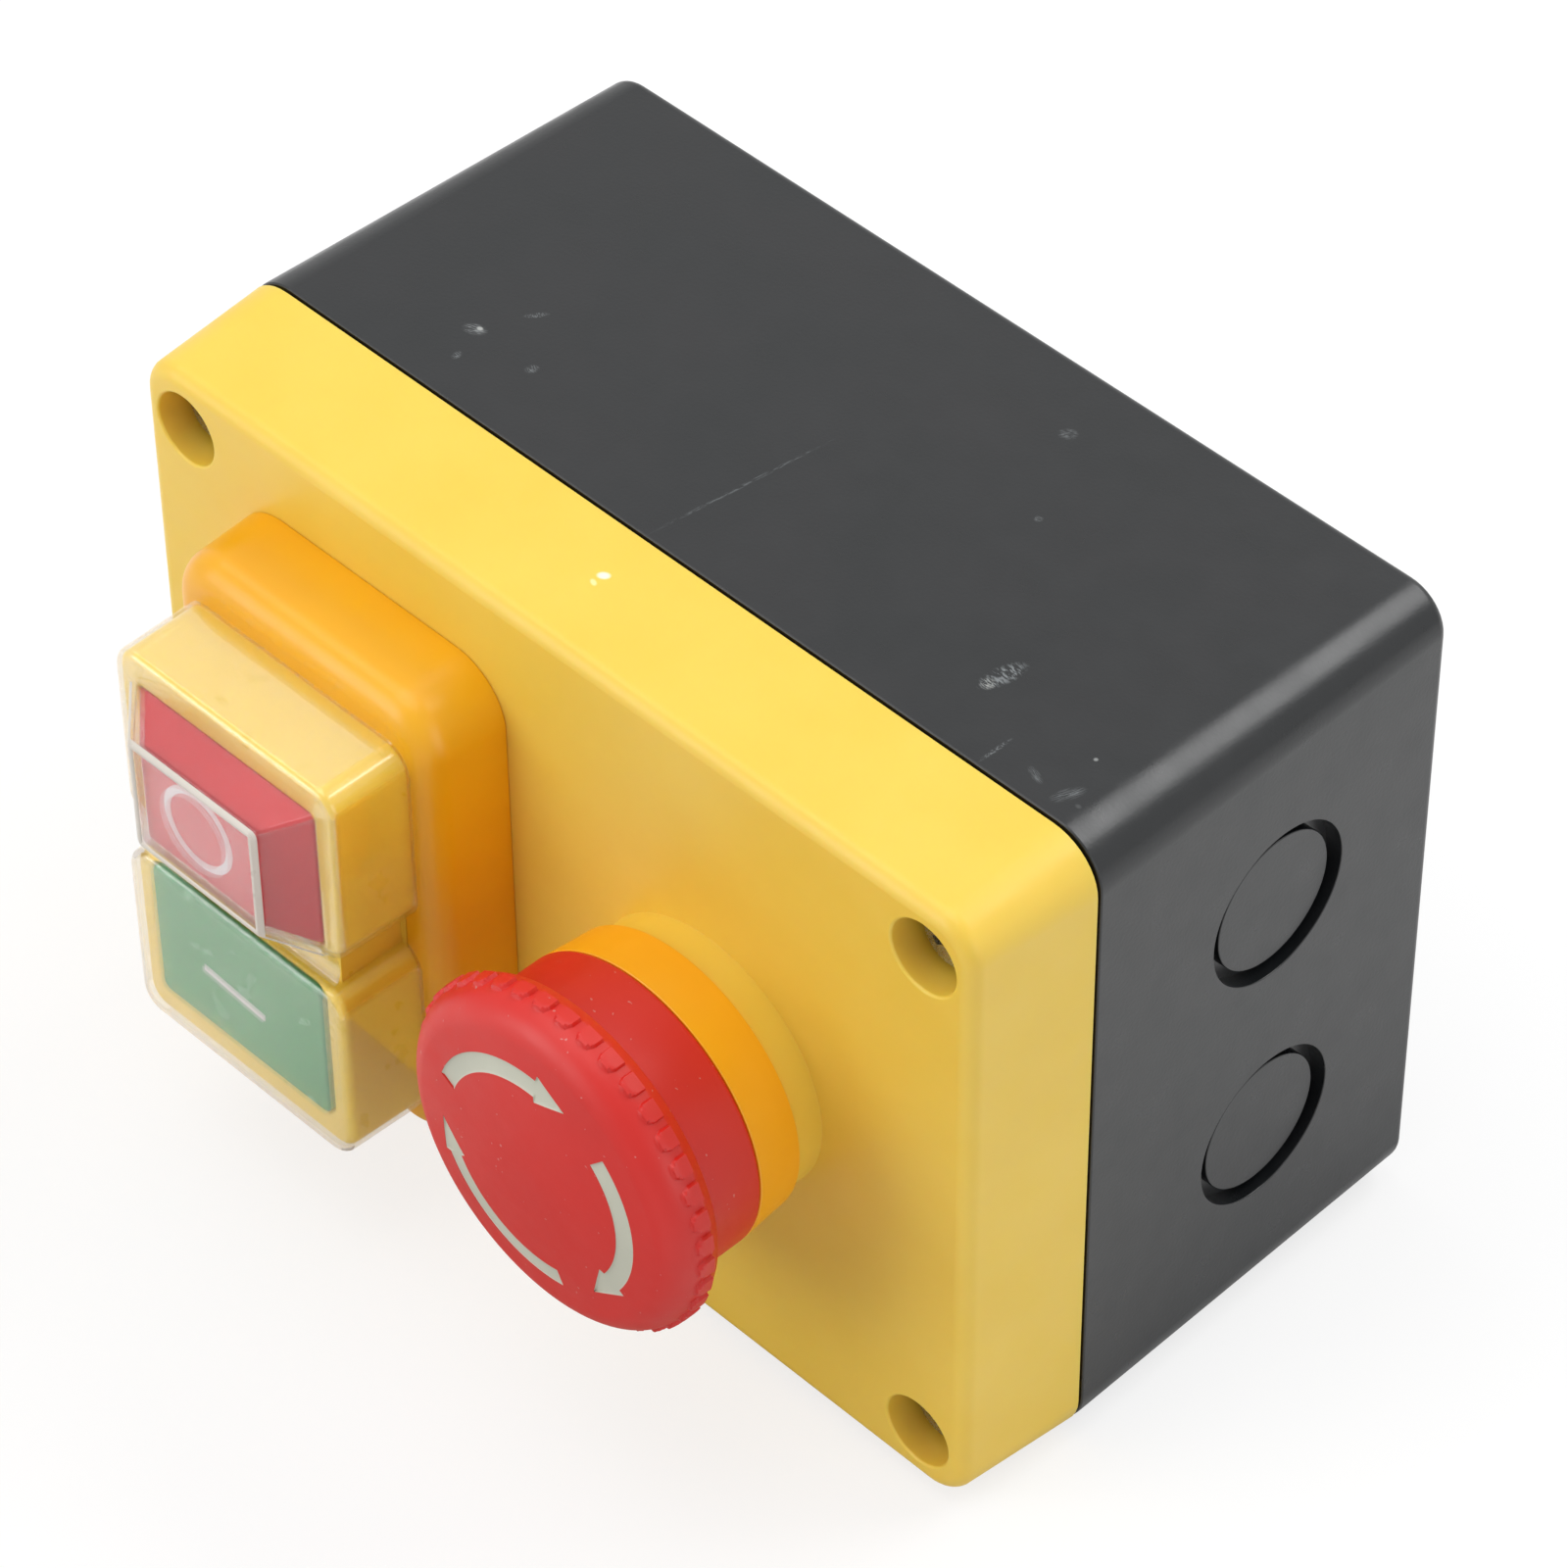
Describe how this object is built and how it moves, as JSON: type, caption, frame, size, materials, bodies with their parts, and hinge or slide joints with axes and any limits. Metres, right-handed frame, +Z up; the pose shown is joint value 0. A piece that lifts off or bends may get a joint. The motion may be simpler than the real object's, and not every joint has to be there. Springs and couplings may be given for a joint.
{
  "type": "pushbutton switch station",
  "caption": "Enclosed start and stop switch under a clear cover, with a mushroom emergency stop button on the same yellow lid.",
  "frame": {"origin": "centre of the flat back face of the enclosure, where it meets a wall or machine", "axes": "+X along the enclosure's length towards the end wall with the round knockouts, -Y out of the yellow front towards the user, +Z up across the height with the stop button above the start button"},
  "size_m": [0.13, 0.0983, 0.091],
  "materials": {
    "black_abs": "moulded ABS, gloss with a fine texture",
    "yellow_abs": "moulded ABS, gloss",
    "black_rubber": "moulded rubber, matt",
    "zinc_steel": "zinc plated steel",
    "amber_abs": "moulded ABS, gloss",
    "pale_yellow_abs": "moulded ABS, gloss",
    "clear_pvc": "soft clear PVC, gloss",
    "red_plastic": "moulded nylon, satin",
    "green_plastic": "moulded ABS, satin",
    "spring_steel": "drawn spring wire",
    "black_pbt": "moulded PBT",
    "laminated_steel": "stacked electrical steel",
    "natural_nylon": "natural nylon",
    "copper_wire": "enamelled copper wire",
    "copper_alloy": "stamped copper alloy",
    "brass_strip": "stamped brass",
    "orange_plastic": "moulded ABS, satin"
  },
  "bodies": {
    "enclosure": {"base_box": "black_abs", "lid": "yellow_abs", "lid_gasket": "black_rubber", "lid_screws": "zinc_steel", "switch_collar": "amber_abs", "collar_seal": "black_rubber", "collar_screws": "zinc_steel", "switch_frame": "pale_yellow_abs", "clear_cover": "clear_pvc", "stop_spring": "spring_steel", "start_spring": "spring_steel", "switch_housing": "black_pbt", "housing_screws": "zinc_steel", "magnet_yoke": "laminated_steel", "coil_bobbin": "natural_nylon", "coil_winding": "copper_wire", "fixed_contacts": "brass_strip", "stop_contacts": "brass_strip", "estop_ring": "orange_plastic", "estop_seal": "black_rubber", "estop_sleeve": "red_plastic", "estop_barrel": "black_pbt", "estop_locknut": "black_pbt", "estop_spring": "spring_steel", "contact_holder": "black_pbt", "contact_block": "black_pbt", "contact_spring": "spring_steel", "contact_terminals": "brass_strip", "terminal_screws": "zinc_steel"},
    "stop_button": {"stop_button": "red_plastic", "stop_bridge": "copper_alloy"},
    "start_button": {"start_button": "green_plastic"},
    "contact_carriage": {"contact_carriage": "natural_nylon", "armature": "laminated_steel", "moving_contacts": "copper_alloy"},
    "estop_plunger": {"estop_stem": "black_pbt"},
    "estop_head": {"estop_head": "red_plastic"},
    "contact_plunger": {"contact_pusher": "natural_nylon", "contact_bridge": "copper_alloy"}
  },
  "joints": [
    {"name": "stop_press", "type": "slide", "parent": "enclosure", "child": "stop_button", "axis": [0, 1, 0], "range_m": [0, 0.003], "stiffness_N_per_m": 600, "deforming": ["stop_spring"]},
    {"name": "start_press", "type": "slide", "parent": "enclosure", "child": "start_button", "axis": [0, 1, 0], "range_m": [0, 0.003], "stiffness_N_per_m": 600, "deforming": ["start_spring"]},
    {"name": "carriage_slide", "type": "slide", "parent": "enclosure", "child": "contact_carriage", "axis": [0, 1, 0], "range_m": [0, 0.003]},
    {"name": "estop_push", "type": "slide", "parent": "enclosure", "child": "estop_plunger", "axis": [0, 1, 0], "range_m": [0, 0.0045], "deforming": ["estop_spring"]},
    {"name": "estop_twist", "type": "hinge", "parent": "estop_plunger", "child": "estop_head", "pos_m": [0.0254, -0.0911, 0], "axis": [0, 1, 0], "range_deg": [0, 45], "stiffness_Nm_per_rad": 0.05},
    {"name": "contact_slide", "type": "slide", "parent": "enclosure", "child": "contact_plunger", "axis": [0, 1, 0], "range_m": [0, 0.0045], "deforming": ["contact_spring"]}
  ],
  "couplings": [
    {"joint": "carriage_slide", "follows": "start_press", "ratio": 1},
    {"joint": "contact_slide", "follows": "estop_push", "ratio": 1}
  ]
}
